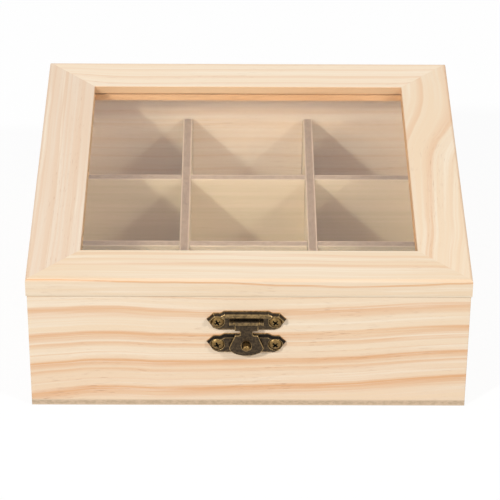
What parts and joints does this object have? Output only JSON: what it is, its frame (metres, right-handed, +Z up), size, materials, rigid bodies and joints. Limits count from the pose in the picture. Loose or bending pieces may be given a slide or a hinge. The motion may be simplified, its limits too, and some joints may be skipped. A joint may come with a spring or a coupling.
{
  "type": "tea bag organizer box",
  "caption": "Pine box with compartments for tea bags, a hinged window lid and a hasp clasp that drops over a peg.",
  "frame": {"origin": "middle of the underside of the base panel, midway between the two sides and between the front and the back of the case", "axes": "+Z up, -Y out of the front with the clasp, +X to the right as seen from the front"},
  "size_m": [0.22, 0.2217, 0.0775],
  "materials": {
    "pine": "bare sanded pine with a faint grain",
    "plywood": "bare thin plywood",
    "divider_board": "bare thin plywood, darker on its cut edges",
    "pane": "clear and faintly smoky",
    "antique_bronze": "dark antiqued plating, rubbed lighter on its edges",
    "worn_brass": "antiqued plating rubbed to brass"
  },
  "bodies": {
    "body": {"base_panel": "plywood", "body_front_board": "pine", "body_back_board": "pine", "body_left_board": "pine", "body_right_board": "pine", "divider_left": "divider_board", "divider_right": "divider_board", "divider_front": "divider_board", "divider_back": "divider_board", "catch_plate": "antique_bronze", "catch_peg": "worn_brass", "catch_screws": "worn_brass", "hinge_left_body_leaf": "antique_bronze", "hinge_right_body_leaf": "antique_bronze", "hinge_left_pin": "worn_brass", "hinge_right_pin": "worn_brass", "hinge_body_screws": "worn_brass"},
    "lid": {"lid_front_rail": "pine", "lid_back_rail": "pine", "lid_left_rail": "pine", "lid_right_rail": "pine", "window_pane": "pane", "lid_front_skirt": "pine", "lid_back_skirt": "pine", "lid_left_skirt": "pine", "lid_right_skirt": "pine", "hasp_plate": "antique_bronze", "hasp_pin": "worn_brass", "hasp_plate_screws": "worn_brass", "hinge_left_lid_leaf": "antique_bronze", "hinge_right_lid_leaf": "antique_bronze", "hinge_lid_screws": "worn_brass"},
    "hasp": {"hasp": "antique_bronze"}
  },
  "joints": [
    {"name": "lid_hinge", "type": "hinge", "parent": "body", "child": "lid", "pos_m": [0, 0.1075, 0.046], "axis": [-1, 0, 0], "range_deg": [0, 180]},
    {"name": "hasp_hinge", "type": "hinge", "parent": "lid", "child": "hasp", "pos_m": [-0.0012, -0.1081, 0.0527], "axis": [-1, 0, 0], "range_deg": [0, 160]}
  ]
}
